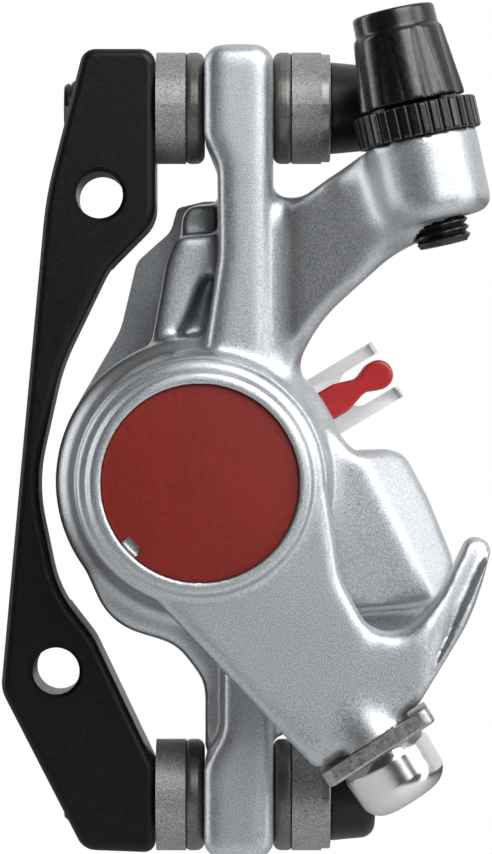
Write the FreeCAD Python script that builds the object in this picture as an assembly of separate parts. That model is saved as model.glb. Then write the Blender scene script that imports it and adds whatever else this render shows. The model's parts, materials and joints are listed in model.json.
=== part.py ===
import FreeCAD, Part
import math
import os

# Cable-pulled ball-ramp disc brake caliper on a black frame adapter, for a 160 mm rotor.
# Millimetres. Origin: where the pad axis crosses the middle of the rotor. X and Z lie in
# the rotor's plane, +Z up along the mounting posts' line, and +Y points towards the wheel.

V = FreeCAD.Vector

# Rotor and pads
ROTOR_R = 80.0
ROTOR_MARGIN = 1.2
PAD_AXIS_R = 69.5
TAB_ANGLE = 31.0
SLOT_HALF = 3.0
PAD_GAP_HALF = 2.2
FRICTION_INSET = 2.0
FRICTION_T = 2.4
PLATE_R = 11.2
PLATE_T = 1.8
TAB_BASE_W = 3.4
TAB_BASE_END = 17.6
TAB_NECK_W = 1.7
TAB_NECK_AT = 20.2
TAB_END_R = 1.62
TAB_END_AT = 22.4
POCKET_CLEARANCE = 0.4
POCKET_FLOOR_GAP = 0.3

# Pad spring, a stamped fork with two curved wings
SPRING_T = 0.4
FORK_HALF_W = 3.5
PRONG_W = 1.4
FORK_SLOT_AT = 18.2
FORK_END = 23.8
FORK_LIP = 0.9
WING_INSET = 0.3
FORK_BEND = 0.7
WING_W = 1.2
WING_SPREAD = 62.0
WING_GAP = 0.12

# Ball ramp
TRAVEL = 1.0
ARM_SWING = 40.0
RAMP_BALL_R = 2.5
RAMP_BALL_PCR = 6.0
RAMP_BALL_COUNT = 3
RAMP_OVERRUN = 2.0
RAMP_CLEARANCE = 0.08
PISTON_R = 9.5
PISTON_CLEARANCE = 0.2
PISTON_T = 5.6
RAMP_GAP = 1.2
CAM_T = 2.6
KEY_W = 3.0
KEY_H = 1.0
KEY_CLEARANCE = 0.1
THRUST_BALL_R = 0.9
THRUST_BALL_COUNT = 12
THRUST_GAP = 0.04
CAGE_T = 0.9
CAGE_BORE_GAP = 0.5
RACE_T = 0.8
RACE_CLEARANCE = 0.2
SHAFT_R = 5.0
SHAFT_CLEARANCE = 0.05
BUSH_R = 6.2
SHAFT_HEX = 8.0
STUD_R = 3.0

# Outboard housing
HUB_R = 15.6
HUB_FRONT_R = 13.4
HUB_SHOULDER = 17.0
HUB_FRONT = 22.4
SPINE_FRONT = 20.5
SPINE_BACK = 4.0
EAR_LEFT = 0.3
EAR_RIGHT = 7.65
EAR_OVER_BOLT = 6.3
EAR_SLOT_W = 6.6
EAR_SLOT_TRAVEL = 3.6
WEB_FRONT = 15.0
POCKET_FRONT = 10.5
BLOCK_FRONT = 19.0
LEDGE_FRONT = 14.0
NECK_FRONT = 17.5
STOP_FRONT = 31.0
STOP_SLOPE = [(7.2, 18.9), (25.6, 29.4)]
STOP_BACK = 14.5
CAST_EDGE = 1.6
WEB_EDGE = 1.2
FIN_EDGE = 0.6
NECK_EDGE = 0.9
BLOCK_EDGE = 1.2
FAR = 80.0
BODY_BOLTS = [(4.5, 24.6), (20.0, -5.6)]
BODY_BOLT_R = 2.45
BODY_BOLT_HEAD_R = 4.25
BODY_BOLT_HEAD_H = 4.0
BODY_BOLT_REACH = 10.0
BOLT_CLEARANCE = 0.1

# Inboard housing, pad adjuster and knob
INNER_PLATE_T = 7.6
INNER_BOSS_R = 12.2
INNER_BOSS_T = 2.8
FOOT_R = 9.0
FOOT_CLEARANCE = 0.3
FOOT_T = 1.6
FOOT_SLEEVE_R = 5.2
FOOT_SLEEVE_T = 1.7
ADJUST_SCREW_R = 3.0
JOURNAL_R = 4.0
COLLAR_R = 6.2
COLLAR_T = 1.0
INNER_WALL = 2.3
KNOB_R = 10.4
KNOB_T = 3.2
KNOB_GAP = 0.7
KNOB_NOTCHES = 12
KNOB_NOTCH_R = 1.3
KNOB_HEX = 5.6

# Adapter bracket
POST_SPACING = 74.0
POST_MID_Z = 3.2
POST_Y = -11.5
IS_SPACING = 51.0
IS_CENTRE = (-13.2, 5.2)
IS_TILT = 5.2
IS_THREAD_R = 2.5
IS_CHAMFER = 0.45
BRACKET_T = 11.0
BRACKET_RELIEF = 2.6
BRACKET_RELIEF_Z = (-13.0, 23.0)
BRACKET_PAD_Z = (-30.4, 27.9)
BRACKET_TOP_X = -12.6
BRACKET_EDGE = 0.9

# Mounting bolts and dished washers
BOLT_R = 2.95
BOLT_HOLE_R = 3.0
BOLT_LENGTH = 28.6
BOLT_HEAD_R = 4.95
BOLT_HEAD_H = 4.8
BOLT_HEAD_TAPER = 0.45
BOLT_SOCKET_AF = 5.0
WASHER_R = 6.0
WASHER_BORE_R = 3.6
BALL_WASHER_T = 2.0
CUP_WASHER_T = 3.2
PLAIN_WASHER_T = 0.95
DISH_R = 14.0
DISH_GAP = 0.02
WASHER_EDGE = 0.9

# Actuation arm
ARM_GAP = 0.5
ARM_FRONT = 29.6
ARM_LIP = 1.0
ARM_R = 13.0
ARM_BLADE_BACK = 22.9
ARM_EDGE = 1.2
CAP_R = 10.3
CAP_T = 1.1
CAP_CLEARANCE = 0.1
CAP_SINK = 0.25
CAP_NOTCH = 2.0
CAP_NOTCH_DEPTH = 1.1
CAP_NOTCH_ANGLE = 223.0
CAP_DOME = 0.35
NUT_AF = 10.0
NUT_T = 2.2
ARM_WASHER_T = 0.5
ARM_WEB_T = 3.2
NUT_WELL_R = 7.2
ANCHOR_CENTRE = (18.0, -26.6)
ANCHOR_TILT = 32.7
ANCHOR_Y = -26.25
ANCHOR_PLATE_W = 13.0
ANCHOR_PLATE_D = 9.6
ANCHOR_PLATE_T = 1.7
ANCHOR_BOLT_R = 2.45
ANCHOR_BOLT_DEPTH = 8.0
ANCHOR_SWELL_R = 4.4
ANCHOR_SWELL_END_R = 2.4
ANCHOR_SWELL_L = 9.0
ANCHOR_HEAD_R = 4.95
ANCHOR_HEAD_H = 5.9
ANCHOR_FLANGE_H = 0.9
ANCHOR_GROOVE = 0.4
CABLE_GROOVE_R = 0.8
CABLE_GROOVE_Y = -25.0

# Return spring, a torsion coil between the arm and the housing
COIL_R = 10.2
COIL_WIRE_R = 0.7
COIL_PITCH = 1.55
COIL_TURNS = 1.75
COIL_LEG = 1.4
COIL_LEG_CLEARANCE = 0.15
COIL_ROOM = 0.6

# Barrel adjuster and its lock ring
STOP_SEAT = (23.0, 36.0)
STOP_Y = -25.2
STOP_TILT = 12.4
STOP_BOSS_R = 5.9
STOP_BOSS_H = 8.8
RING_R = 6.5
RING_T = 3.3
RING_GAP = 0.35
RING_KNURLS = 36
BARREL_FOOT_R = 5.6
BARREL_TOP_R = 4.7
BARREL_H = 7.7
BARREL_RIM_R = 4.4
BARREL_RIM_H = 2.3
BARREL_FLUTES = 8
FLUTE_R = 2.6
FLUTE_DEPTH = 0.5
FLUTE_TOP_DEPTH = 0.12
STEM_R = 3.0
STEM_CLEARANCE = 0.06
STEM_REACH = 11.4
FERRULE_R = 3.2
FERRULE_BORE_R = 2.55
FERRULE_H = 8.2
FERRULE_CLEARANCE = 0.05
CABLE_HOLE_R = 1.1

# Outlines in the X-Z plane: (x, z, corner radius)
BRACKET_LEFT = [
    (-12.6, -39.3, 2.2), (-21.4, -22.2, 3.5), (-19.3, 1.2, 60.0), (-16.6, 30.5, 40.0),
]
BRACKET_RIGHT = [
    (-10.0, 22.8, 7.0), (-15.0, 12.4, 22.0), (-17.8, -0.2, 18.0), (-15.4, -11.6, 12.0),
    (-11.5, -16.6, 6.0),
]
LOWER_WAIST = [(0.3, -30.0, 3.0), (2.2, -26.4, 3.0), (2.2, -19.0, 8.0)]
SPINE_WAIST = [(0.3, 14.0, 8.0), (1.8, 24.0, 12.0), (1.7, 33.4, 2.0), (0.3, 36.6, 3.0)]
UPPER_WEB = [
    (3.4, 26.6, 1.0), (-2.6, 26.4, 1.6), (-3.8, 23.6, 8.0), (-5.8, 12.6, 0.7), (-3.6, 14.6, 3.0),
    (-1.4, 17.4, 5.0), (0.2, 22.0, 6.0), (3.4, 24.0, 1.0),
]
POCKET_WALL = [(3.4, 25.8, 1.0), (-1.6, 25.4, 1.0), (-4.8, 12.4, 1.0), (3.4, 10.6, 1.0)]
NECK = [
    (-13.2, -7.6, 2.0), (-9.8, -15.2, 7.0), (-2.6, -17.4, 5.0), (0.4, -21.4, 4.0), (0.4, -29.0, 1.0),
    (6.6, -29.0, 0.6), (7.0, -27.1, 0.6), (9.3, -27.1, 0.6), (9.6, -18.0, 6.0), (14.0, -9.0, 1.0),
    (0.0, 2.0, 1.0),
]
BLOCK = [
    (9.0, 6.6, 1.0), (13.6, 6.4, 1.0), (16.4, 3.0, 2.2), (21.4, 3.6, 2.6), (24.2, -1.6, 6.0),
    (27.2, -9.0, 3.0), (25.2, -13.2, 2.0), (14.0, -14.2, 3.0), (5.0, -12.0, 1.0),
]
LEDGE = [
    (9.0, 2.0, 1.0), (22.0, 0.0, 2.6), (24.2, -1.6, 2.0), (27.2, -9.0, 3.0), (24.0, -16.6, 3.5),
    (16.0, -18.4, 3.0), (5.0, -14.0, 1.0),
]
BLOCK_BEVEL = [(17.3, 2.1), (24.1, -11.6)]
BEVEL_REACH = 9.0
BEVEL_FALL = 8.0
STOP_WEB = [
    (5.2, 31.2, 1.9), (10.2, 29.8, 3.2), (17.6, 35.0, 9.0), (24.6, 35.6, 1.9), (26.4, 27.0, 1.9),
    (20.6, 24.4, 14.0), (12.6, 17.2, 16.0), (9.8, 11.6, 3.0), (12.0, 6.8, 1.9), (5.2, 6.8, 1.9),
]
TOP_BRIDGE = [
    (-2.6, 20.6, 1.5), (-2.2, 30.0, 2.0), (9.4, 30.6, 2.0), (10.2, 17.4, 1.5), (4.0, 17.4, 1.5),
]
INNER_OUTLINE = [
    (9.2, 31.2, 2.5), (0.0, 30.9, 1.0), (-2.9, 30.2, 0.8), (-3.6, 27.6, 2.5), (-7.4, 24.2, 2.5),
    (-9.2, 16.6, 8.0), (-14.2, 8.0, 6.0), (-16.2, -3.0, 9.0), (-8.0, -14.8, 8.0), (6.0, -16.6, 8.0),
    (15.0, -15.8, 4.0), (24.0, -16.0, 3.5), (26.8, -8.6, 3.0), (23.6, -0.8, 5.0), (21.2, 3.4, 2.2),
    (15.6, 3.2, 2.4), (10.4, 12.4, 4.0),
]
HORN_TAIL = (22.7, -23.0)
HORN_BEND = (28.5, -13.4)
HORN_TIP = (30.5, -6.4)
ARM_BLADE = [
    (-9.2, -7.4, 2.0), (12.3, -30.0, 1.6), (*HORN_TAIL, 1.6), (*HORN_BEND, 24.0), (*HORN_TIP, 1.3),
    (28.1, -5.2, 1.3), (24.8, -12.0, 9.0), (18.8, -17.6, 3.4), (14.6, -10.0, 7.0), (12.8, 2.0, 4.0),
    (0.0, 6.0, 2.0),
]
HORN_SLOPE = 6.0
HORN_DROP = 3.0


def polar(radius, degrees):
    a = math.radians(degrees)
    return radius * math.cos(a), radius * math.sin(a)


def rounded_wire(points, place):
    """A closed wire through (u, v, corner radius) points; place turns (u, v) into a vector."""
    n = len(points)
    corners = []
    for i in range(n):
        u, v, r = points[i]
        here = V(u, v, 0)
        back = V(*points[i - 1][:2], 0) - here
        ahead = V(*points[(i + 1) % n][:2], 0) - here
        half = back.getAngle(ahead) / 2
        if r <= 0 or half > math.pi / 2 - 1e-4:
            corners.append([here])
            continue
        back.normalize()
        ahead.normalize()
        reach = r / math.tan(half)
        middle = back + ahead
        middle.normalize()
        centre = here + middle * (r / math.sin(half))
        corners.append([here + back * reach, centre - middle * r, here + ahead * reach])
    edges = []
    for i in range(n):
        corner = [place(p.x, p.y) for p in corners[i]]
        if len(corner) == 3:
            edges.append(Part.Arc(*corner).toShape())
        start, end = corner[-1], place(corners[(i + 1) % n][0].x, corners[(i + 1) % n][0].y)
        if (end - start).Length > 1e-6:
            edges.append(Part.LineSegment(start, end).toShape())
    return Part.Wire(edges)


def prism(points, y0, y1):
    """An X-Z outline carried from y0 to y1."""
    face = Part.Face(rounded_wire(points, lambda u, v: V(u, y0, v)))
    return face.extrude(V(0, y1 - y0, 0))


def turned(points):
    """A profile of (radius, y, corner radius) turned about the Y axis."""
    face = Part.Face(rounded_wire(points, lambda u, v: V(u, v, 0)))
    return face.revolve(V(0, 0, 0), V(0, 1, 0), 360)


def rod(radius, y0, y1, x=0.0, z=0.0):
    """A cylinder along Y."""
    return Part.makeCylinder(radius, y1 - y0, V(x, y0, z), V(0, 1, 0))


def tube(outer, inner, y0, y1, x=0.0, z=0.0):
    return rod(outer, y0, y1, x, z).cut(rod(inner, y0 - 1, y1 + 1, x, z))


def hexagon(across_flats, y0, y1, x=0.0, z=0.0):
    corner = across_flats / math.sqrt(3)
    points = [polar(corner, 60 * i + 30) for i in range(6)]
    return prism([(x + u, z + v, 0) for u, v in points], y0, y1)


def bar(x0, x1, y0, y1, z0, z1):
    return Part.makeBox(x1 - x0, y1 - y0, z1 - z0, V(x0, y0, z0))


def turn(shape, degrees):
    """A copy turned about the Y axis, from +X towards +Z."""
    return shape.rotated(V(0, 0, 0), V(0, -1, 0), degrees)


def aim(shape, point, direction):
    """A copy whose own Y axis lies along direction, in the X-Z plane, with its origin at point."""
    depth = V(0, -1, 0)
    copy = shape.copy()
    rotation = FreeCAD.Rotation(direction.cross(depth), direction, depth, "YZX")
    copy.Placement = FreeCAD.Placement(point, rotation)
    return copy


def flat_edges(shape, point, normal):
    """The edges that lie in the plane through point."""
    chosen = []
    for edge in shape.Edges:
        span = edge.LastParameter - edge.FirstParameter
        samples = [edge.valueAt(edge.FirstParameter + span * i / 4) for i in range(5)]
        if all(abs((p - point).dot(normal)) < 1e-4 for p in samples):
            chosen.append(edge)
    return chosen


def soften(shape, radius, y):
    """Rounds the edges that lie flat at y."""
    return shape.makeFillet(radius, flat_edges(shape, V(0, y, 0), V(0, 1, 0)))


def fuse(first, *others):
    return first.fuse(list(others)).removeSplitter()


def posts():
    """The heights of the upper and lower mounting bolts."""
    return [POST_MID_Z + POST_SPACING / 2, POST_MID_Z - POST_SPACING / 2]


def per_post(shape, x, along):
    """One copy of shape at each mounting bolt, with its own Y axis along X times along."""
    return Part.Compound([aim(shape, V(x, POST_Y, z), V(along, 0, 0)) for z in posts()])


# Places along Y that several pieces share, counted outwards from the rotor
PLATE_BACK = PAD_GAP_HALF + FRICTION_T + PLATE_T
POCKET_FLOOR = PLATE_BACK + POCKET_FLOOR_GAP
PISTON_BACK = PLATE_BACK + PISTON_T
CAM_FACE = PISTON_BACK + RAMP_GAP
FRICTION_R = PLATE_R - FRICTION_INSET
CAGE_R = PISTON_R - 2 * RACE_CLEARANCE
THRUST_PCR = (CAGE_R + SHAFT_R + CAGE_BORE_GAP) / 2
RAMP_BALL_Y = PISTON_BACK + RAMP_GAP / 2
CAM_BACK = CAM_FACE + CAM_T
RACE_FACE = CAM_BACK + 2 * (THRUST_BALL_R + THRUST_GAP)
SHOULDER = RACE_FACE + RACE_T
ARM_BACK = HUB_FRONT + ARM_GAP
ARM_SEAT = ARM_BACK + ARM_WEB_T
CAP_SEAT = ARM_FRONT + ARM_LIP - CAP_T - CAP_SINK
BRACKET_FACE = EAR_LEFT - BALL_WASHER_T - CUP_WASHER_T
BRACKET_FRONT = POST_Y - BRACKET_T / 2
BRACKET_BACK = POST_Y + BRACKET_T / 2
INNER_BACK = SLOT_HALF + INNER_PLATE_T
BOSS_BACK = INNER_BACK + INNER_BOSS_T
INNER_CAVITY_END = BOSS_BACK - INNER_WALL
ROTOR_CENTRE = polar(PAD_AXIS_R, TAB_ANGLE + 180)
STOP_AXIS = V(-math.sin(math.radians(STOP_TILT)), 0, math.cos(math.radians(STOP_TILT)))
STOP_POINT = V(STOP_SEAT[0], STOP_Y, STOP_SEAT[1])
ANCHOR_AXIS = V(math.sin(math.radians(ANCHOR_TILT)), 0, -math.cos(math.radians(ANCHOR_TILT)))
ANCHOR_POINT = V(ANCHOR_CENTRE[0], ANCHOR_Y, ANCHOR_CENTRE[1])


def rotor_room():
    """The space that the rotor sweeps between the two halves."""
    return rod(ROTOR_R + ROTOR_MARGIN, -SLOT_HALF, SLOT_HALF, *ROTOR_CENTRE)


def pad_pocket(y0, y1):
    """Room for a pad and its tab."""
    room = rod(PLATE_R + POCKET_CLEARANCE, y0, y1)
    half = FORK_HALF_W + POCKET_CLEARANCE
    return room.fuse(turn(bar(0, HUB_R + 12, y0, y1, -half, half), TAB_ANGLE))


def keys(radius, y0, y1, clearance):
    """A pair of key bars on a bore or a sliding piece."""
    half = KEY_W / 2 + clearance
    return bar(-radius - KEY_H - clearance, radius + KEY_H + clearance, y0, y1, -half, half)


def body_bolt_rods(radius, y0, y1):
    return [rod(radius, y0, y1, x, z) for x, z in BODY_BOLTS]


# Castings
def stop_boss():
    """The round boss that takes the barrel adjuster, square to its tilted axis."""
    return soften(rod(STOP_BOSS_R, -STOP_BOSS_H, 0), CAST_EDGE, -STOP_BOSS_H)


def outboard_housing():
    hub = turned([
        (0, -SLOT_HALF, 0), (HUB_R, -SLOT_HALF, 0.6), (HUB_R, -HUB_SHOULDER, 1.8),
        (HUB_FRONT_R + 0.6, -HUB_SHOULDER - 1.6, 0.8), (HUB_FRONT_R, -HUB_FRONT, 0.5), (0, -HUB_FRONT, 0),
    ])
    top, low = posts()
    spine = prism([
        (EAR_LEFT, top + EAR_OVER_BOLT, 2.0), (EAR_RIGHT, top + EAR_OVER_BOLT, 2.0),
        (EAR_RIGHT, low - EAR_OVER_BOLT, 2.0), (EAR_LEFT, low - EAR_OVER_BOLT, 2.0), *LOWER_WAIST, *SPINE_WAIST,
    ], -SPINE_FRONT, -SPINE_BACK)
    spine = soften(spine, CAST_EDGE, -SPINE_FRONT)
    web = soften(prism(UPPER_WEB, -WEB_FRONT, -SLOT_HALF), FIN_EDGE, -WEB_FRONT)
    pocket = prism(POCKET_WALL, -POCKET_FRONT, -SLOT_HALF)
    neck = soften(prism(NECK, -NECK_FRONT, -SPINE_BACK), NECK_EDGE, -NECK_FRONT)
    block = soften(prism(BLOCK, -BLOCK_FRONT, SLOT_HALF), BLOCK_EDGE, -BLOCK_FRONT).cut(block_bevel())
    ledge = soften(prism(LEDGE, -LEDGE_FRONT, SLOT_HALF), BLOCK_EDGE, -LEDGE_FRONT)
    stop_web = sloped_web()
    bridge = prism(TOP_BRIDGE, -SPINE_BACK - 4, SLOT_HALF)
    boss = aim(stop_boss(), STOP_POINT, STOP_AXIS)
    body = fuse(hub, spine, web, pocket, neck, block, ledge, stop_web, bridge, boss)
    cuts = [
        rotor_room(),
        pad_pocket(-POCKET_FLOOR, SLOT_HALF + 1),
        rod(PISTON_R + PISTON_CLEARANCE, -SHOULDER, 0),
        keys(PISTON_R, -PISTON_BACK - TRAVEL, 0, KEY_CLEARANCE),
        rod(BUSH_R, -HUB_FRONT - 1, 0),
        coil_leg(-HUB_FRONT, COIL_LEG_CLEARANCE),
        aim(rod(STEM_R + STEM_CLEARANCE, -STEM_REACH - 8, 1), STOP_POINT, STOP_AXIS),
        *body_bolt_rods(BODY_BOLT_R + BOLT_CLEARANCE, -BODY_BOLT_REACH, SLOT_HALF + 1),
        *[ear_slot(z) for z in posts()],
    ]
    return body.cut(cuts)


def sloped_web():
    """The arched web between the spine and the cable stop; its face comes forward towards the stop."""
    (x0, d0), (x1, d1) = STOP_SLOPE
    run = V(x1 - x0, d0 - d1, 0)
    start = V(x0, -d0, 0) - run
    end = start + run * 3
    corners = [start, end, end + V(0, -FAR, 0), start + V(0, -FAR, 0)]
    front = Part.Face(Part.makePolygon(corners + corners[:1])).extrude(V(0, 0, FAR))
    web = prism(STOP_WEB, -STOP_FRONT, -STOP_BACK).cut(front)
    normal = V(run.y, -run.x, 0)
    normal.normalize()
    return web.makeFillet(WEB_EDGE, flat_edges(web, start, normal))


def block_bevel():
    """A slanting cut along the outer front edge of the lower bridge."""
    (x0, z0), (x1, z1) = BLOCK_BEVEL
    run = V(x1 - x0, 0, z1 - z0)
    out = V(-run.z, 0, run.x)
    out.normalize()
    out = out * -1 if out.x < 0 else out
    start = V(x0, -BLOCK_FRONT, z0) - run
    reach = start + out * BEVEL_REACH
    corners = [start, reach + V(0, BEVEL_FALL, 0), reach + V(0, -2, 0), start + V(0, -2, 0)]
    return Part.Face(Part.makePolygon(corners + corners[:1])).extrude(run * 3)


def ear_slot(z):
    """A bolt slot that lets the caliper shift sideways over the rotor."""
    half = EAR_SLOT_TRAVEL / 2
    start = EAR_LEFT - 2
    length = EAR_RIGHT - EAR_LEFT + 4
    slot = Part.makeBox(length, 2 * half, EAR_SLOT_W, V(start, POST_Y - half, z - EAR_SLOT_W / 2))
    ends = [
        Part.makeCylinder(EAR_SLOT_W / 2, length, V(start, POST_Y + side * half, z), V(1, 0, 0))
        for side in (-1, 1)
    ]
    return slot.fuse(ends)


def inboard_housing():
    plate = soften(prism(INNER_OUTLINE, SLOT_HALF, INNER_BACK), CAST_EDGE, INNER_BACK)
    boss = soften(rod(INNER_BOSS_R, SLOT_HALF, BOSS_BACK), 1.2, BOSS_BACK)
    head_seat = INNER_BACK - BODY_BOLT_HEAD_H
    cuts = [
        pad_pocket(SLOT_HALF - 1, POCKET_FLOOR),
        rod(FOOT_R + FOOT_CLEARANCE, 0, INNER_CAVITY_END),
        keys(FOOT_R, 0, POCKET_FLOOR + FOOT_T, KEY_CLEARANCE),
        rod(JOURNAL_R + SHAFT_CLEARANCE, 0, BOSS_BACK + 1),
        *body_bolt_rods(BODY_BOLT_R + BOLT_CLEARANCE, 0, head_seat + 1),
        *body_bolt_rods(BODY_BOLT_HEAD_R + 3 * BOLT_CLEARANCE, head_seat, BOSS_BACK + 1),
    ]
    return fuse(plate, boss).cut(cuts)


def body_bolts():
    """Two screws that clamp the halves together, put in from the wheel side."""
    seat = INNER_BACK - BODY_BOLT_HEAD_H
    bolts = []
    for x, z in BODY_BOLTS:
        head = soften(rod(BODY_BOLT_HEAD_R, seat, INNER_BACK, x, z), 0.5, INNER_BACK)
        shank = rod(BODY_BOLT_R, -BODY_BOLT_REACH + 1, seat, x, z)
        bolts.append(head.fuse(shank).cut(hexagon(BODY_BOLT_R * 1.8, INNER_BACK - 2.4, INNER_BACK + 1, x, z)))
    return Part.Compound(bolts)


# Adapter bracket and its hardware
def mounting_bracket():
    top, low = posts()
    outline = [
        (BRACKET_TOP_X, top + EAR_OVER_BOLT - 0.3, 1.6), (BRACKET_FACE, top + EAR_OVER_BOLT - 0.3, 1.6),
        (BRACKET_FACE, BRACKET_PAD_Z[1], 4.0), *BRACKET_RIGHT, (BRACKET_FACE, BRACKET_PAD_Z[0], 2.0),
        (BRACKET_FACE, low - EAR_OVER_BOLT + 0.5, 1.2), *BRACKET_LEFT,
    ]
    plate = prism(outline, BRACKET_FRONT, BRACKET_BACK)
    plate = soften(plate, BRACKET_EDGE, BRACKET_FRONT)
    plate = soften(plate, BRACKET_EDGE / 2, BRACKET_BACK)
    relief = bar(-40, 0, BRACKET_BACK - BRACKET_RELIEF, BRACKET_BACK + 1, *BRACKET_RELIEF_Z)
    cuts = [relief]
    for x, z in is_holes():
        cuts.append(rod(IS_THREAD_R, BRACKET_FRONT - 1, BRACKET_BACK + 1, x, z))
        cuts.append(Part.makeCone(
            IS_THREAD_R + IS_CHAMFER, IS_THREAD_R, IS_CHAMFER, V(x, BRACKET_FRONT, z), V(0, 1, 0)))
    for z in posts():
        cuts.append(Part.makeCylinder(BOLT_HOLE_R, 60, V(-50, POST_Y, z), V(1, 0, 0)))
    return plate.cut(cuts)


def is_holes():
    """The two threaded holes for the frame's bolts, upper first."""
    across, up = polar(IS_SPACING / 2, 90 - IS_TILT)
    return [(IS_CENTRE[0] + s * across, IS_CENTRE[1] + s * up) for s in (1, -1)]


def dish(edge, gap):
    """The ball whose surface meets a washer's rim at edge."""
    return Part.makeSphere(DISH_R + gap, V(0, edge - math.sqrt(DISH_R ** 2 - WASHER_R ** 2), 0))


def ball_washer():
    washer = rod(WASHER_R, 0, 2 * BALL_WASHER_T).common(dish(BALL_WASHER_T, 0))
    rim = [e for e in washer.Edges if e.BoundBox.XMax > WASHER_R - 1e-3 and e.BoundBox.YLength < 1e-3]
    return washer.makeFillet(WASHER_EDGE, rim).cut(rod(WASHER_BORE_R, -1, 9))


def cup_washer():
    washer = tube(WASHER_R, WASHER_BORE_R, BALL_WASHER_T, BALL_WASHER_T + CUP_WASHER_T)
    return washer.cut(dish(BALL_WASHER_T, DISH_GAP))


def plain_washer():
    return soften(tube(WASHER_R - 0.2, BOLT_R + 0.15, 0, PLAIN_WASHER_T), 0.2, PLAIN_WASHER_T)


def mount_bolt():
    """A tapered socket head on a plain shank, with its own Y axis from the seat to the head's top."""
    head = turned([
        (0, 0, 0), (BOLT_HEAD_R, 0, 0.2),
        (BOLT_HEAD_R - BOLT_HEAD_TAPER, BOLT_HEAD_H, 1.6), (0, BOLT_HEAD_H, 0),
    ])
    shank = rod(BOLT_R, -BOLT_LENGTH, 0.5)
    socket = hexagon(BOLT_SOCKET_AF, BOLT_HEAD_H - 3.0, BOLT_HEAD_H + 1)
    return head.fuse(shank).cut(socket).removeSplitter()


HEAD_SEAT = EAR_RIGHT + BALL_WASHER_T + CUP_WASHER_T


# Pads and their spring
def pad_tab_outline():
    """The lollipop tab, along +X."""
    base, neck = TAB_BASE_W / 2, TAB_NECK_W / 2
    edge = [
        (0, base, 0), (TAB_BASE_END, base, 1.5), (TAB_NECK_AT, neck, 1.5),
        (TAB_END_AT - 0.4, TAB_END_R, 1.2), (TAB_END_AT + TAB_END_R, TAB_END_R, TAB_END_R * 0.98),
    ]
    return [(u, -v, r) for u, v, r in edge] + edge[::-1]


def pad_plate(side):
    """A backing plate with its tab; side is -1 outboard, 1 inboard."""
    y0, y1 = sorted((side * (PLATE_BACK - PLATE_T), side * PLATE_BACK))
    tab = turn(prism(pad_tab_outline(), y0, y1), TAB_ANGLE)
    return rod(PLATE_R, y0, y1).fuse(tab).removeSplitter()


def friction(side):
    """A puck of lining with one dust groove."""
    y0, y1 = sorted((side * PAD_GAP_HALF, side * (PAD_GAP_HALF + FRICTION_T)))
    groove_depth = FRICTION_T / 2
    inner = side * PAD_GAP_HALF
    g0, g1 = sorted((inner - side, inner + side * groove_depth))
    groove = turn(bar(-20, 20, g0, g1, -0.6, 0.6), TAB_ANGLE)
    return rod(FRICTION_R, y0, y1).cut(groove)


def pad_spring():
    """A fork between the tabs, and a wing on each pad's rim, bent from one sheet."""
    half_t = SPRING_T / 2
    wing_r = PLATE_R - WING_INSET
    bend = PLATE_R + FORK_BEND
    slot = FORK_HALF_W - PRONG_W
    fork = bar(bend, FORK_END, -half_t, half_t, -FORK_HALF_W, FORK_HALF_W)
    fork = fork.cut(prism([
        (FORK_SLOT_AT, -slot, 1.6), (FORK_END + 5, -slot, 0),
        (FORK_END + 5, slot, 0), (FORK_SLOT_AT, slot, 1.6),
    ], -1, 1))
    lips = [
        bar(FORK_END - SPRING_T, FORK_END, -FORK_LIP, half_t, z0, z0 + PRONG_W)
        for z0 in (-FORK_HALF_W, FORK_HALF_W - PRONG_W)
    ]
    wing_y = PLATE_BACK - PLATE_T - WING_GAP
    riser = bar(bend, bend + SPRING_T, -wing_y, wing_y, -FORK_HALF_W + 0.4, FORK_HALF_W - 0.4)
    wings = []
    for y0 in (-wing_y, wing_y - SPRING_T):
        ring = tube(wing_r, wing_r - WING_W, y0, y0 + SPRING_T)
        wedge = [(0, 0, 0), (*polar(30, -WING_SPREAD), 0), (40, 0, 0), (*polar(30, WING_SPREAD), 0)]
        wings.append(ring.common(prism(wedge, y0 - 1, y0 + 1)))
        wings.append(bar(wing_r - WING_W, bend + SPRING_T / 2, y0, y0 + SPRING_T, -2.4, 2.4))
    return turn(fuse(fork, riser, *lips, *wings), TAB_ANGLE)


# Ball-ramp mechanism
def ball_angles():
    return [90 + 360 / RAMP_BALL_COUNT * i for i in range(RAMP_BALL_COUNT)]


def ramp_groove(angle):
    """The path of one ball across the piston's back face, as a ball-nosed cutter leaves it."""
    lead = TRAVEL * 360 / ARM_SWING
    span = ARM_SWING + 2 * RAMP_OVERRUN
    cutter_r = RAMP_BALL_R + RAMP_CLEARANCE
    start = V(RAMP_BALL_PCR, 0, 0)
    heading = V(0, 2 * math.pi * RAMP_BALL_PCR, lead)
    helix = Part.makeHelix(lead, lead * span / 360, RAMP_BALL_PCR)
    section = Part.Wire([Part.makeCircle(cutter_r, start, heading)])
    groove = Part.Wire(helix).makePipeShell([section], True, True)
    x, y = polar(RAMP_BALL_PCR, span)
    ends = [start, V(x, y, lead * span / 360)]
    groove = groove.fuse([Part.makeSphere(cutter_r, end) for end in ends])
    groove = groove.rotated(V(0, 0, 0), V(1, 0, 0), 90)
    groove.translate(V(0, -RAMP_BALL_Y + lead * RAMP_OVERRUN / 360, 0))
    return turn(groove, angle - RAMP_OVERRUN)


def piston():
    """Slides in the bore on two keys; its face carries the outboard pad."""
    body = turned([
        (0, -PLATE_BACK, 0), (PISTON_R, -PLATE_BACK, 0.4),
        (PISTON_R, -PISTON_BACK, 0.4), (0, -PISTON_BACK, 0),
    ])
    body = body.fuse(keys(PISTON_R, -PISTON_BACK, -PLATE_BACK - 0.6, 0).common(
        rod(PISTON_R + KEY_H, -PISTON_BACK, -PLATE_BACK)))
    return body.cut([ramp_groove(a) for a in ball_angles()])


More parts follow.
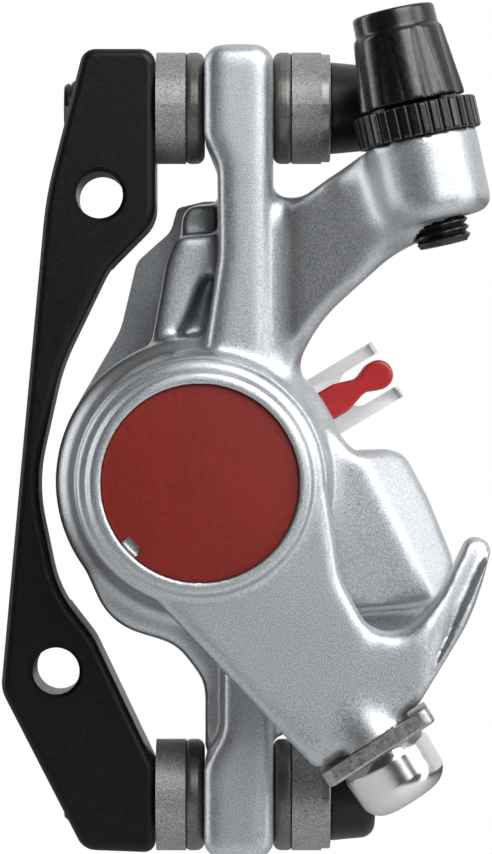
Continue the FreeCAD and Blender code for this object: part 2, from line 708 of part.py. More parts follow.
def ball_centres(radius, count, first, y):
    return [V(x, y, z) for x, z in (polar(radius, first + 360 / count * i) for i in range(count))]


def ramp_balls():
    centres = ball_centres(RAMP_BALL_PCR, RAMP_BALL_COUNT, ball_angles()[0], -RAMP_BALL_Y)
    return Part.Compound([Part.makeSphere(RAMP_BALL_R, c) for c in centres])


def drive_spindle():
    """The cam flange with ball sockets, the shaft, the arm's hexagon and a threaded stud."""
    flange = soften(rod(PISTON_R, -CAM_BACK, -CAM_FACE), 0.4, -CAM_BACK)
    shaft = rod(SHAFT_R, -ARM_BACK, -CAM_BACK + 0.2)
    drive = hexagon(SHAFT_HEX, -ARM_SEAT + 0.2, -ARM_BACK + 0.2)
    stud = soften(rod(STUD_R, -ARM_SEAT - ARM_WASHER_T - NUT_T - 0.3, -ARM_SEAT + 1), 0.4,
                  -ARM_SEAT - ARM_WASHER_T - NUT_T - 0.3)
    sockets = [
        Part.makeSphere(RAMP_BALL_R + RAMP_CLEARANCE, c)
        for c in ball_centres(RAMP_BALL_PCR, RAMP_BALL_COUNT, ball_angles()[0], -RAMP_BALL_Y)
    ]
    return fuse(flange, shaft, drive, stud).cut(sockets)


def thrust_race():
    return tube(PISTON_R - RACE_CLEARANCE, BUSH_R + 0.2, -SHOULDER, -RACE_FACE)


def thrust_centres():
    return ball_centres(THRUST_PCR, THRUST_BALL_COUNT, 0, -(CAM_BACK + RACE_FACE) / 2)


def thrust_balls():
    return Part.Compound([Part.makeSphere(THRUST_BALL_R, c) for c in thrust_centres()])


def thrust_cage():
    middle = -(CAM_BACK + RACE_FACE) / 2
    ring = tube(CAGE_R, SHAFT_R + CAGE_BORE_GAP, middle - CAGE_T / 2, middle + CAGE_T / 2)
    return ring.cut([Part.makeSphere(THRUST_BALL_R + THRUST_GAP, c) for c in thrust_centres()])


def spindle_bush():
    return tube(BUSH_R, SHAFT_R + SHAFT_CLEARANCE, -HUB_FRONT, -SHOULDER)


def dust_seal():
    """A rubber ring in the gap behind the arm."""
    return turned([
        (SHAFT_R + 0.6, -HUB_FRONT - ARM_GAP + 0.12, 0.1), (SHAFT_R + 2.2, -HUB_FRONT - ARM_GAP + 0.12, 0.1),
        (SHAFT_R + 2.2, -HUB_FRONT, 0.1), (SHAFT_R + 0.6, -HUB_FRONT, 0.1),
    ])


# Return spring
def coil_leg(y, clearance):
    """An end of the coil, turned up along Y to hook into a casting at y."""
    return rod(COIL_WIRE_R + clearance, y - COIL_LEG - clearance, y + COIL_LEG + clearance, COIL_R, 0)


def coil_bottom():
    return HUB_FRONT + COIL_ROOM / 2 + COIL_WIRE_R


def coil_top():
    return coil_bottom() + COIL_PITCH * COIL_TURNS


def return_spring():
    helix = Part.makeHelix(COIL_PITCH, COIL_PITCH * COIL_TURNS, COIL_R)
    section = Part.Wire([Part.makeCircle(COIL_WIRE_R, V(COIL_R, 0, 0), V(0, 1, 0))])
    coil = Part.Wire(helix).makePipeShell([section], True, True)
    coil = coil.rotated(V(0, 0, 0), V(1, 0, 0), 90)
    coil.translate(V(0, -coil_bottom(), 0))
    first = rod(COIL_WIRE_R, -coil_bottom(), -HUB_FRONT + COIL_LEG, COIL_R, 0)
    last = turn(rod(COIL_WIRE_R, -coil_top() - COIL_LEG, -coil_top(), COIL_R, 0), 360 * COIL_TURNS)
    return fuse(coil, first, last)


# Arm, cap and cable anchor
def horn_slope():
    """Takes the horn's outer front edge back, from nothing at the clamp to the most at the tip."""
    tail, tip = V(*HORN_TAIL, 0), V(*HORN_TIP, 0)
    run = tip - tail
    run.normalize()
    out = V(run.y, -run.x, 0)
    inset = tip - out * HORN_SLOPE
    apex = V(tail.x, -ARM_FRONT, tail.y)
    inner = V(inset.x, -ARM_FRONT, inset.y)
    outer = V(tip.x, -ARM_FRONT + HORN_DROP, tip.y)
    corners = [apex, apex + (inner - apex) * 2, apex + (outer - apex) * 2]
    return Part.Face(Part.makePolygon(corners + corners[:1])).extrude(V(0, -20, 0))


def cable_groove():
    """Follows the horn's outer edge from the clamp to the tip."""
    tail, bend, tip = [V(x, CABLE_GROOVE_Y, z) for x, z in (HORN_TAIL, HORN_BEND, HORN_TIP)]
    low, high = bend - tail, tip - bend
    runs = [
        Part.makeCylinder(CABLE_GROOVE_R, 3 * low.Length, bend, low * -1),
        Part.makeCylinder(CABLE_GROOVE_R, 3 * high.Length, bend, high),
    ]
    return Part.makeSphere(CABLE_GROOVE_R, bend).fuse(runs)


def anchor_swell():
    """The blade's swelling round the cable bolt's thread, fading towards the hub."""
    cone = Part.makeCone(ANCHOR_SWELL_R, ANCHOR_SWELL_END_R, ANCHOR_SWELL_L, ANCHOR_POINT, ANCHOR_AXIS * -1)
    behind = Part.makeBox(2 * FAR, FAR, 2 * FAR, V(-FAR, -ARM_BLADE_BACK, -FAR))
    return cone.cut(behind)


def actuation_arm():
    hub = turned([
        (0, -ARM_BACK, 0), (ARM_R, -ARM_BACK, 0.6), (ARM_R, -ARM_FRONT, 1.0),
        (CAP_R + 1.5, -ARM_FRONT - ARM_LIP * 0.1, 0.4), (CAP_R + 1.2, -ARM_FRONT - ARM_LIP, 0.6),
        (0, -ARM_FRONT - ARM_LIP, 0),
    ])
    blade = prism(ARM_BLADE, -ARM_FRONT, -ARM_BLADE_BACK)
    blade = soften(blade, ARM_EDGE, -ARM_FRONT)
    blade = soften(blade, ARM_EDGE / 3, -ARM_BLADE_BACK)
    room_top = coil_top() + COIL_WIRE_R + COIL_ROOM / 2
    cuts = [
        horn_slope(), cable_groove(),
        rod(CAP_R, -ARM_FRONT - ARM_LIP - 1, -CAP_SEAT),
        rod(NUT_WELL_R, -CAP_SEAT - 1, -ARM_SEAT),
        hexagon(SHAFT_HEX + 2 * SHAFT_CLEARANCE, -ARM_SEAT - 1, -ARM_BACK + 1),
        tube(COIL_R + COIL_WIRE_R + COIL_ROOM, COIL_R - COIL_WIRE_R - COIL_ROOM, -room_top, -ARM_BACK + 1),
        turn(rod(COIL_WIRE_R + COIL_LEG_CLEARANCE, -coil_top() - COIL_LEG - COIL_LEG_CLEARANCE, -coil_top(),
                 COIL_R, 0), 360 * COIL_TURNS),
        aim(rod(ANCHOR_BOLT_R + BOLT_CLEARANCE, -ANCHOR_BOLT_DEPTH - 0.5, 1), ANCHOR_POINT, ANCHOR_AXIS),
        anchor_face(),
    ]
    return fuse(hub, blade, anchor_swell()).cut(cuts)


def anchor_face():
    """Trims the end of the blade square to the cable bolt."""
    return aim(Part.makeBox(60, 20, 40, V(-30, 0, -20)), ANCHOR_POINT, ANCHOR_AXIS)


def arm_washer():
    return tube(NUT_WELL_R - 0.5, STUD_R + 0.1, -ARM_SEAT - ARM_WASHER_T, -ARM_SEAT)


def arm_nut():
    top = ARM_SEAT + ARM_WASHER_T + NUT_T
    nut = hexagon(NUT_AF, -top, -ARM_SEAT - ARM_WASHER_T)
    dome = turned([
        (0, -top, 0), (NUT_AF * 0.52, -top, 0), (NUT_AF * 0.62, -top + 0.8, 0),
        (NUT_AF * 0.62, -ARM_SEAT, 0), (0, -ARM_SEAT, 0),
    ])
    return nut.common(dome).cut(rod(STUD_R + 0.02, -top - 1, 0))


def arm_cap():
    """A domed dust cap pressed into the arm, with a notch to lift it by."""
    face = CAP_SEAT + CAP_T
    radius = CAP_R - CAP_CLEARANCE
    disc = rod(radius, -face, -CAP_SEAT)
    ball_r = (radius ** 2 + CAP_DOME ** 2) / (2 * CAP_DOME)
    disc = disc.common(Part.makeSphere(ball_r, V(0, ball_r - face, 0)))
    notch = bar(radius - CAP_NOTCH_DEPTH, radius + 2, -face - 1, -CAP_SEAT + 1, -CAP_NOTCH / 2, CAP_NOTCH / 2)
    return disc.cut(turn(notch, CAP_NOTCH_ANGLE))


def anchor_plate():
    """The clamp plate under the cable bolt's head."""
    w, d = ANCHOR_PLATE_W / 2, ANCHOR_PLATE_D / 2
    plate = prism([(-w, -d, 1.2), (w, -d, 1.2), (w, d, 1.2), (-w, d, 1.2)], 0, ANCHOR_PLATE_T)
    plate = soften(plate, 0.35, ANCHOR_PLATE_T)
    return aim(plate.cut(rod(ANCHOR_BOLT_R + BOLT_CLEARANCE, -1, 9)), ANCHOR_POINT, ANCHOR_AXIS)


def anchor_bolt():
    seat = ANCHOR_PLATE_T
    top = seat + ANCHOR_HEAD_H
    head = turned([
        (0, seat, 0), (ANCHOR_HEAD_R - ANCHOR_GROOVE, seat, 0.2),
        (ANCHOR_HEAD_R, seat + ANCHOR_FLANGE_H, 0.8), (ANCHOR_HEAD_R - 0.15, top, 2.4), (0, top, 0),
    ])
    bolt = head.fuse(rod(ANCHOR_BOLT_R, -ANCHOR_BOLT_DEPTH, seat + 0.5))
    bolt = bolt.cut(hexagon(ANCHOR_BOLT_R * 1.8, top - 3.0, top + 1))
    return aim(bolt.removeSplitter(), ANCHOR_POINT, ANCHOR_AXIS)


# Inboard adjuster
def adjuster_foot():
    """Carries the inboard pad; keyed, so that the turning screw pushes it out."""
    end = PLATE_BACK + FOOT_T + FOOT_SLEEVE_T
    flange = soften(rod(FOOT_R, PLATE_BACK, PLATE_BACK + FOOT_T), 0.3, PLATE_BACK + FOOT_T)
    tabs = keys(FOOT_R, PLATE_BACK + 0.5, PLATE_BACK + FOOT_T, 0).common(rod(FOOT_R + KEY_H, 0, end))
    sleeve = rod(FOOT_SLEEVE_R, PLATE_BACK, end)
    thread = rod(ADJUST_SCREW_R + SHAFT_CLEARANCE, PLATE_BACK + 0.8, end + 1)
    return fuse(flange, tabs, sleeve).cut(thread)


def adjuster_screw():
    start = PLATE_BACK + 0.8 + 0.2
    collar_end = INNER_CAVITY_END - 0.06
    thread = rod(ADJUST_SCREW_R, start, collar_end)
    collar = rod(COLLAR_R, collar_end - COLLAR_T, collar_end)
    journal = rod(JOURNAL_R, collar_end - 0.2, BOSS_BACK + KNOB_GAP - 0.1)
    drive = hexagon(KNOB_HEX, BOSS_BACK, knob_back() - 0.6)
    screw_hole = rod(1.25, knob_back() - 5, knob_back() + 1)
    return fuse(thread, collar, journal, drive).cut(screw_hole)


def knob_back():
    return BOSS_BACK + KNOB_GAP + KNOB_T


def wave_washer():
    """Keeps the knob from turning by itself."""
    return tube(JOURNAL_R + 2.2, JOURNAL_R + 0.3, BOSS_BACK, BOSS_BACK + KNOB_GAP - 0.1)


def adjuster_knob():
    y0, y1 = BOSS_BACK + KNOB_GAP, knob_back()
    disc = turned([(0, y0, 0), (KNOB_R, y0, 0.4), (KNOB_R, y1, 0.9), (0, y1, 0)])
    notches = [
        rod(KNOB_NOTCH_R, y0 - 1, y1 + 1, *polar(KNOB_R + 0.5, 360 / KNOB_NOTCHES * i))
        for i in range(KNOB_NOTCHES)
    ]
    recess = tube(KNOB_R - 2.6, 4.6, y1 - 0.8, y1 + 1)
    return disc.cut([*notches, recess, hexagon(KNOB_HEX + 0.1, y0 - 1, y1 + 1)])


def knob_screw():
    head = knob_back()
    top = soften(rod(3.6, head, head + 1.2), 0.5, head + 1.2)
    return top.fuse(rod(1.2, head - 4, head + 0.2)).cut(hexagon(2.0, head + 0.3, head + 2)).removeSplitter()


# Barrel adjuster, in its own frame with Y up its axis from the seat, then tilted into place
def lock_ring():
    ring = turned([(0, 0, 0), (RING_R, 0, 0.3), (RING_R, RING_T, 0.3), (0, RING_T, 0)])
    grooves = [
        rod(0.32, -1, RING_T + 1, *polar(RING_R + 0.05, 360 / RING_KNURLS * i)) for i in range(RING_KNURLS)
    ]
    ring = ring.cut([*grooves, rod(STEM_R + STEM_CLEARANCE, -1, RING_T + 1)])
    return aim(ring, STOP_POINT, STOP_AXIS)


def barrel_top():
    return RING_T + RING_GAP + BARREL_H + BARREL_RIM_H


def barrel_adjuster():
    foot = RING_T + RING_GAP
    cone = turned([
        (0, foot, 0), (BARREL_FOOT_R, foot, 0.3), (BARREL_TOP_R, foot + BARREL_H, 0.3),
        (BARREL_RIM_R, foot + BARREL_H, 0), (BARREL_RIM_R - 0.05, barrel_top(), 0.3), (0, barrel_top(), 0),
    ])
    low = V(BARREL_FOOT_R + FLUTE_R - FLUTE_DEPTH, foot, 0)
    high = V(BARREL_TOP_R + FLUTE_R - FLUTE_TOP_DEPTH, foot + BARREL_H, 0)
    run = high - low
    flute = Part.makeCylinder(FLUTE_R, 1.4 * run.Length, low - run * 0.2, run)
    flutes = [turn(flute, 360 / BARREL_FLUTES * (i + 0.5)) for i in range(BARREL_FLUTES)]
    cone = cone.cut(flutes)
    stem = rod(STEM_R, -STEM_REACH, foot + 0.5)
    socket = rod(FERRULE_R + FERRULE_CLEARANCE, barrel_top() - FERRULE_H, barrel_top() + 1)
    body = fuse(cone, stem).cut([socket, rod(CABLE_HOLE_R, -STEM_REACH - 1, barrel_top())])
    return aim(body, STOP_POINT, STOP_AXIS)


def housing_ferrule():
    """The sleeve that seats the cable's housing inside the barrel."""
    y0, y1 = barrel_top() - FERRULE_H + 0.05, barrel_top() - 0.4
    cup = rod(FERRULE_R, y0, y1).cut([rod(FERRULE_BORE_R, y0 + 0.8, y1 + 1), rod(CABLE_HOLE_R, y0 - 1, y1)])
    return aim(cup, STOP_POINT, STOP_AXIS)


def parts():
    cup_side, head_side = EAR_LEFT, EAR_RIGHT
    return {
        "outboard_housing": outboard_housing(),
        "inboard_housing": inboard_housing(),
        "body_bolts": body_bolts(),
        "mounting_bracket": mounting_bracket(),
        "mount_bolts": per_post(mount_bolt(), HEAD_SEAT + PLAIN_WASHER_T, 1),
        "bolt_washers": per_post(plain_washer(), HEAD_SEAT, 1),
        "bracket_cup_washers": per_post(cup_washer(), cup_side, -1),
        "bracket_ball_washers": per_post(ball_washer(), cup_side, -1),
        "head_cup_washers": per_post(cup_washer(), head_side, 1),
        "head_ball_washers": per_post(ball_washer(), head_side, 1),
        "outboard_pad_plate": pad_plate(-1),
        "outboard_friction": friction(-1),
        "inboard_pad_plate": pad_plate(1),
        "inboard_friction": friction(1),
        "pad_spring": pad_spring(),
        "piston": piston(),
        "ramp_balls": ramp_balls(),
        "drive_spindle": drive_spindle(),
        "thrust_race": thrust_race(),
        "thrust_balls": thrust_balls(),
        "thrust_cage": thrust_cage(),
        "spindle_bush": spindle_bush(),
        "dust_seal": dust_seal(),
        "return_spring": return_spring(),
        "actuation_arm": actuation_arm(),
        "arm_washer": arm_washer(),
        "arm_nut": arm_nut(),
        "arm_cap": arm_cap(),
        "cable_clamp_plate": anchor_plate(),
        "cable_clamp_bolt": anchor_bolt(),
        "adjuster_foot": adjuster_foot(),
        "adjuster_screw": adjuster_screw(),
        "wave_washer": wave_washer(),
        "adjuster_knob": adjuster_knob(),
        "knob_screw": knob_screw(),
        "lock_ring": lock_ring(),
        "barrel_adjuster": barrel_adjuster(),
        "housing_ferrule": housing_ferrule(),
    }


os.makedirs("parts", exist_ok=True)
for name, shape in parts().items():
    shape.exportStep(f"parts/{name}.step")
    print(f"{name}: {len(shape.Solids)} solid(s), {shape.Volume:.1f} mm3, valid {shape.isValid()}")
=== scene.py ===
import json
import math

import bmesh
import bpy
from mathutils import Matrix, Vector


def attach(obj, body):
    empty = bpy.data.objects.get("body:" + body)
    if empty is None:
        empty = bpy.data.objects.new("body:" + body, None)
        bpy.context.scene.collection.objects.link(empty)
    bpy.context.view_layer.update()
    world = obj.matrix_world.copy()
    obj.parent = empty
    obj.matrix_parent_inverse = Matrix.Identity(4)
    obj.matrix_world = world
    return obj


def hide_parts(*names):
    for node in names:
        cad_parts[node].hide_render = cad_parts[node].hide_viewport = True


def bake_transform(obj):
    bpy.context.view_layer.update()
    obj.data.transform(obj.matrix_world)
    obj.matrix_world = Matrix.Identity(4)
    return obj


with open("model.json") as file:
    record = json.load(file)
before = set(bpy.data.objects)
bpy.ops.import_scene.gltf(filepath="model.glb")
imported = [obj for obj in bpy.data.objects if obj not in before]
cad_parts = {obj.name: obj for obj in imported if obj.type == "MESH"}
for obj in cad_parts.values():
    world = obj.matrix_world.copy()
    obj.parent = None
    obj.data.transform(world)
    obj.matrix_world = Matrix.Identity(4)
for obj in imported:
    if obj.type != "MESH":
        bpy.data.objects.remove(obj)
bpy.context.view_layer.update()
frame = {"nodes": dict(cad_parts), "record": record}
mm = 0.001
mergeGap = 1e-6  # metres: points nearer than this are one point
fineGap = 1e-7
print("frame loaded:", len(frame["nodes"]), "nodes")


# Finishes

def linear(hexText):
    # sRGB hex to the linear values that the shader wants
    parts = [int(hexText[i:i + 2], 16) / 255 for i in (1, 3, 5)]
    return [p / 12.92 if p <= 0.04045 else ((p + 0.055) / 1.055) ** 2.4 for p in parts] + [1.0]


def addNode(material, kind, settings=None, inputs=None, links=None):
    node = material.node_tree.nodes.new(kind)
    for key, value in (settings or {}).items():
        setattr(node, key, value)
    for key, value in (inputs or {}).items():
        node.inputs[key].default_value = value
    for key, source in (links or {}).items():
        material.node_tree.links.new(source, node.inputs[key])
    return node


noise = {"grainDetail": 3.0, "grainRoughness": 0.6, "cloudDetail": 2.0, "usual": (0.3, 0.7)}


def makeFinish(name, look):
    # a grain from noise at a real size drives colour, roughness and a little height
    material = bpy.data.materials.new(name)
    material.use_nodes = True
    shader = material.node_tree.nodes["Principled BSDF"]
    for key, value in look["shader"].items():
        shader.inputs[key].default_value = value
    place = addNode(material, "ShaderNodeTexCoord").outputs["Object"]
    grain = addNode(material, "ShaderNodeTexNoise",
                    inputs={"Scale": 1 / (look["grainMm"] * mm), "Detail": noise["grainDetail"],
                            "Roughness": noise["grainRoughness"]},
                    links={"Vector": place})
    cloud = addNode(material, "ShaderNodeTexNoise",
                    inputs={"Scale": 1 / (look["cloudMm"] * mm), "Detail": noise["cloudDetail"]},
                    links={"Vector": place})
    colour = addNode(material, "ShaderNodeValToRGB", links={"Fac": grain.outputs["Fac"]})
    colour.color_ramp.elements[0].position = 0.5 - look["spread"]
    colour.color_ramp.elements[0].color = linear(look["dark"])
    colour.color_ramp.elements[1].position = 0.5 + look["spread"]
    colour.color_ramp.elements[1].color = linear(look["light"])
    low, high = noise["usual"]  # most of what the noise gives lies between these
    shade = addNode(material, "ShaderNodeMapRange",
                    inputs={"From Min": low, "From Max": high, "To Min": 1 - look["cloud"], "To Max": 1.0},
                    links={"Value": cloud.outputs["Fac"]})
    tint = addNode(material, "ShaderNodeVectorMath", settings={"operation": "SCALE"},
                   links={"Vector": colour.outputs["Color"], "Scale": shade.outputs["Result"]})
    smooth, coarse = look["rough"]
    rough = addNode(material, "ShaderNodeMapRange",
                    inputs={"From Min": low, "From Max": high, "To Min": smooth, "To Max": coarse},
                    links={"Value": grain.outputs["Fac"]})
    height = addNode(material, "ShaderNodeBump",
                     inputs={"Strength": look["bump"], "Distance": look["bumpMm"] * mm},
                     links={"Height": grain.outputs["Fac"]})
    links = material.node_tree.links
    links.new(tint.outputs["Vector"], shader.inputs["Base Color"])
    links.new(rough.outputs["Result"], shader.inputs["Roughness"])
    links.new(height.outputs["Normal"], shader.inputs["Normal"])
    return material


# sizes in mm; a real grain that is too fine to show is drawn as coarse as it is here
finishes = {
    # die-cast aluminium, blasted and clear coated: pale grey with a fine bright and dark speckle
    "castAluminium": {
        "dark": "#9ea2a6", "light": "#d0d3d6", "spread": 0.18, "grainMm": 0.16, "cloudMm": 9.0, "cloud": 0.06,
        "rough": (0.35, 0.5), "bump": 0.45, "bumpMm": 0.04, "shader": {"Metallic": 0.95},
    },
    # forged aluminium under satin black paint: nearly black, soft sheen on its edges
    "satinBlack": {
        "dark": "#060608", "light": "#0c0c0e", "spread": 0.2, "grainMm": 0.3, "cloudMm": 8.0, "cloud": 0.12,
        "rough": (0.34, 0.48), "bump": 0.12, "bumpMm": 0.03, "shader": {"Specular IOR Level": 0.24},
    },
    # steel with black oxide: dark with a dull metal shine
    "blackOxide": {
        "dark": "#151517", "light": "#242427", "spread": 0.2, "grainMm": 0.3, "cloudMm": 5.0, "cloud": 0.2,
        "rough": (0.3, 0.46), "bump": 0.1, "bumpMm": 0.02, "shader": {"Metallic": 0.55},
    },
    # blasted washer: mid grey with a coarse sparkle
    "blastedWasher": {
        "dark": "#727473", "light": "#b0b2b1", "spread": 0.13, "grainMm": 0.16, "cloudMm": 5.0, "cloud": 0.1,
        "rough": (0.4, 0.62), "bump": 0.35, "bumpMm": 0.04, "shader": {"Metallic": 0.7},
    },
    # hardened steel: warm dark grey, smooth round rim
    "darkSteel": {
        "dark": "#5a5956", "light": "#777571", "spread": 0.2, "grainMm": 0.3, "cloudMm": 4.0, "cloud": 0.12,
        "rough": (0.32, 0.46), "bump": 0.12, "bumpMm": 0.02, "shader": {"Metallic": 0.75},
    },
    # zinc-plated steel: bright grey, lightly clouded
    "zincPlate": {
        "dark": "#7d7f80", "light": "#a3a5a6", "spread": 0.2, "grainMm": 0.4, "cloudMm": 4.0, "cloud": 0.1,
        "rough": (0.28, 0.42), "bump": 0.1, "bumpMm": 0.02, "shader": {"Metallic": 0.9},
    },
    # moulded nylon in brick red: matt with a slight orange peel
    "redNylon": {
        "dark": "#6e1610", "light": "#7d1d15", "spread": 0.25, "grainMm": 0.45, "cloudMm": 7.0, "cloud": 0.1,
        "rough": (0.4, 0.54), "bump": 0.2, "bumpMm": 0.04, "shader": {"Specular IOR Level": 0.3},
    },
    # pressed steel under red paint: clean and bright
    "redPaint": {
        "dark": "#a20f17", "light": "#b3151c", "spread": 0.25, "grainMm": 0.5, "cloudMm": 5.0, "cloud": 0.08,
        "rough": (0.3, 0.42), "bump": 0.1, "bumpMm": 0.02, "shader": {"Coat Weight": 0.2},
    },
    # sintered metal lining: grainy brown grey
    "sinteredLining": {
        "dark": "#3c352e", "light": "#6d6258", "spread": 0.12, "grainMm": 0.3, "cloudMm": 4.0, "cloud": 0.2,
        "rough": (0.6, 0.85), "bump": 0.5, "bumpMm": 0.06, "shader": {"Metallic": 0.3},
    },
    # stainless spring steel: bright and smooth
    "springSteel": {
        "dark": "#e6e8e9", "light": "#f2f3f3", "spread": 0.25, "grainMm": 0.5, "cloudMm": 4.0, "cloud": 0.06,
        "rough": (0.34, 0.46), "bump": 0.06, "bumpMm": 0.02, "shader": {"Metallic": 0.1},
    },
    # turned steel: clean grey with a soft shine
    "turnedSteel": {
        "dark": "#86898b", "light": "#a5a8aa", "spread": 0.2, "grainMm": 0.35, "cloudMm": 4.0, "cloud": 0.1,
        "rough": (0.26, 0.4), "bump": 0.1, "bumpMm": 0.02, "shader": {"Metallic": 0.95},
    },
    # polished bearing steel: a pale mirror
    "bearingSteel": {
        "dark": "#c9cbcc", "light": "#d6d7d8", "spread": 0.3, "grainMm": 0.6, "cloudMm": 3.0, "cloud": 0.04,
        "rough": (0.06, 0.12), "bump": 0.02, "bumpMm": 0.01, "shader": {"Metallic": 1.0},
    },
    # sintered bronze: yellow brown, porous
    "sinteredBronze": {
        "dark": "#8a6a3c", "light": "#a8854f", "spread": 0.15, "grainMm": 0.3, "cloudMm": 3.0, "cloud": 0.15,
        "rough": (0.35, 0.5), "bump": 0.2, "bumpMm": 0.03, "shader": {"Metallic": 0.9},
    },
    # nitrile rubber: matt black
    "nitrileRubber": {
        "dark": "#121212", "light": "#1c1c1c", "spread": 0.25, "grainMm": 0.4, "cloudMm": 3.0, "cloud": 0.1,
        "rough": (0.65, 0.8), "bump": 0.2, "bumpMm": 0.03, "shader": {},
    },
    # satin stainless plate: warm grey with a soft, broken shine
    "satinPlate": {
        "dark": "#8f908d", "light": "#b3b3af", "spread": 0.2, "grainMm": 0.35, "cloudMm": 5.0, "cloud": 0.12,
        "rough": (0.26, 0.4), "bump": 0.15, "bumpMm": 0.02, "shader": {"Metallic": 0.95},
    },
    # chrome plate: a mirror
    "chromePlate": {
        "dark": "#cfd0d0", "light": "#dadbdb", "spread": 0.3, "grainMm": 0.8, "cloudMm": 5.0, "cloud": 0.05,
        "rough": (0.14, 0.22), "bump": 0.03, "bumpMm": 0.01, "shader": {"Metallic": 1.0},
    },
    # moulded acetal: glossy black
    "blackAcetal": {
        "dark": "#060607", "light": "#0c0c0d", "spread": 0.25, "grainMm": 0.5, "cloudMm": 4.0, "cloud": 0.1,
        "rough": (0.22, 0.32), "bump": 0.08, "bumpMm": 0.02, "shader": {"Specular IOR Level": 0.55},
    },
    # nickel-plated brass: yellowish grey, shiny
    "nickelBrass": {
        "dark": "#9c9482", "light": "#b5ad98", "spread": 0.25, "grainMm": 0.4, "cloudMm": 3.0, "cloud": 0.1,
        "rough": (0.2, 0.32), "bump": 0.08, "bumpMm": 0.02, "shader": {"Metallic": 1.0},
    },
}
made = {name: makeFinish(name, look) for name, look in finishes.items()}

slotFinish = {
    "cast": "castAluminium", "bracket_black": "satinBlack", "bolt_black": "blackOxide",
    "washer_grey": "blastedWasher", "washer_dark": "darkSteel", "washer_steel": "zincPlate",
    "pad_red": "redPaint", "lining": "sinteredLining",
    "spring_steel": "springSteel", "plain_steel": "turnedSteel", "ball_steel": "bearingSteel",
    "bearing_bronze": "sinteredBronze", "seal_rubber": "nitrileRubber", "cap_red": "redNylon",
    "clamp_steel": "satinPlate", "clamp_chrome": "chromePlate", "barrel_black": "blackAcetal",
    "ferrule_metal": "nickelBrass",
}
nodeSlot = {part["node"]: part["material_slot"] for part in frame["record"]["subparts"]}
for name, thing in frame["nodes"].items():
    thing.data.materials.clear()
    thing.data.materials.append(made[slotFinish[nodeSlot[name]]])
print("finishes set:", len(made))


# Putting pieces in place

nodeBody = {node: body for body, nodes in frame["record"]["behaviour"]["bodies"].items() for node in nodes}


def keepPiece(bm, name, node, smoothDegrees=35, bends=False):
    # turns a bmesh into a piece that stands for one node, and rides on its body unless it bends between two
    mesh = bpy.data.meshes.new(name)
    bm.to_mesh(mesh)
    bm.free()
    mesh.materials.append(made[slotFinish[nodeSlot[node]]])
    piece = bpy.data.objects.new(name, mesh)
    bpy.context.collection.objects.link(piece)
    mesh.shade_smooth()
    mesh.set_sharp_from_angle(angle=math.radians(smoothDegrees))
    if not bends:
        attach(piece, nodeBody[node])
    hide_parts(node)
    return piece


def nodeCopy(node):
    # the node's own surface, merged
    bm = bmesh.new()
    bm.from_mesh(frame["nodes"][node].data)
    bmesh.ops.remove_doubles(bm, verts=bm.verts, dist=mergeGap)
    return bm


def cutAway(bm, point, outward, gap=fineGap):
    # takes off what lies outside a plane
    everything = bm.verts[:] + bm.edges[:] + bm.faces[:]
    return bmesh.ops.bisect_plane(bm, geom=everything, dist=gap, plane_co=point, plane_no=outward,
                                  clear_outer=True)


def relax(bm, verts, passes):
    for step in range(passes):
        bmesh.ops.smooth_vert(bm, verts=verts, factor=0.5, use_axis_x=True, use_axis_y=True, use_axis_z=True)


def upright(point, direction):
    # a frame whose Z runs along direction, which lies in the X-Z plane, from point
    up = Vector(direction).normalized()
    side = Vector((0, -1, 0))
    across = side.cross(up)
    turn = Matrix((across, side, up)).transposed().to_4x4()
    return Matrix.Translation(Vector(point)) @ turn


# Castings: the CAD surface with the soft corners and run-in creases of a die casting

casting = {
    "voxel": 0.42, "passes": 7, "armVoxel": 0.24, "armPasses": 7, "blendTiers": 5, "blendPasses": 14,
    "sharpDegrees": 60,
}
postBoltZs = (40.2, -33.8)
stop = {"seat": Vector((23.0, -25.2, 36.0)), "tilt": 12.4}
stop["up"] = Vector((-math.sin(math.radians(stop["tilt"])), 0, math.cos(math.radians(stop["tilt"]))))
clamp = {"centre": Vector((18.0, -26.25, -26.6)), "tilt": 32.7}
clamp["out"] = Vector((math.sin(math.radians(clamp["tilt"])), 0, -math.cos(math.radians(clamp["tilt"]))))
# machined places, which keep their form
housingSeats = {
    "bores": 12.2, "boresFrom": -22.2, "slotFrom": -3.6, "stop": 3.9,
    "bolts": 6.1, "earLeft": 0.5, "earRight": 7.45,
}
armSeats = {"cap": 10.7, "clampFace": 0.3, "hubBackFrom": -23.1}
# run-in places: the low end, the high end and the margin of each measure
runIns = {
    "boss": {"across": (3.9, 11.0, 1.5), "along": (-13.0, 0.2, 2.0), "x": (10.0, 23.0, 3.0),
             "y": (-40.0, -18.5, 1.5)},
    "spine": {"x": (7.0, 11.5, 0.9), "z": (9.0, 31.0, 2.0), "y": (-20.4, -15.0, 0.5)},
    "swell": {"along": (-10.5, -0.3, 1.5), "across": (-8.0, 8.0, 2.0), "y": (-40.0, -28.2, 0.6)},
    "horn": {"x": (18.0, 40.0, 3.0), "along": (-60.0, -5.0, 2.0), "y": (-40.0, -26.4, 1.0)},
}


def offAxis(p, point, axis):
    # how far p lies along an axis from point, and how far off it
    along = (p - point).dot(axis)
    return along, (p - point - axis * along).length


